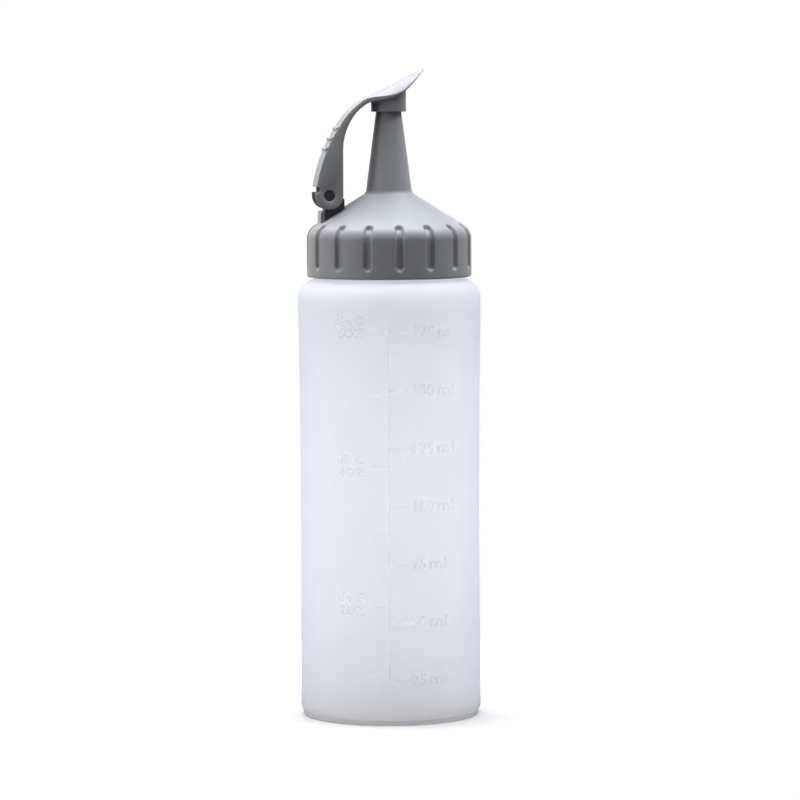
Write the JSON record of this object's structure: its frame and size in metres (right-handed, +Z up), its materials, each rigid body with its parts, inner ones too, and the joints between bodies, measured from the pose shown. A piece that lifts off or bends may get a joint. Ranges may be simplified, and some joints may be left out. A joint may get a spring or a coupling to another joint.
{
  "type": "squeeze bottle",
  "caption": "Translucent round squeeze bottle with a fluted grey screw cap, a tapered nozzle and a hinged flip lid that covers the nozzle tip.",
  "frame": {"origin": "centre of the bottle's base, on the surface it stands on", "axes": "+Z up along the bottle's axis, lid hinge on the -X side with its pin along Y, thumb tab towards +X"},
  "size_m": [0.0476, 0.0476, 0.1689],
  "materials": {
    "bottle_plastic": "translucent milky, fine moulded haze",
    "cap_plastic": "satin moulded grey",
    "hinge_plastic": "dark satin",
    "seal_rubber": "soft matt silicone"
  },
  "bodies": {
    "bottle": {"bottle": "bottle_plastic"},
    "seal": {"cap_seal": "seal_rubber"},
    "cap": {"screw_cap": "cap_plastic", "hinge_block": "hinge_plastic", "hinge_pin": "hinge_plastic"},
    "lid": {"flip_lid": "cap_plastic"}
  },
  "joints": [
    {"name": "cap_lift", "type": "slide", "parent": "bottle", "child": "seal", "axis": [0, 0, 1], "range_m": [0, 0.0063]},
    {"name": "cap_twist", "type": "hinge", "parent": "seal", "child": "cap", "pos_m": [0, 0, 0.12], "axis": [0, 0, 1], "range_deg": [0, 540]},
    {"name": "lid_hinge", "type": "hinge", "parent": "cap", "child": "lid", "pos_m": [-0.01615, 0, 0.1363], "axis": [0, -1, 0], "range_deg": [0, 97]}
  ],
  "couplings": [
    {"joint": "cap_lift", "follows": "cap_twist", "m_per_rad": 0.0006684}
  ]
}
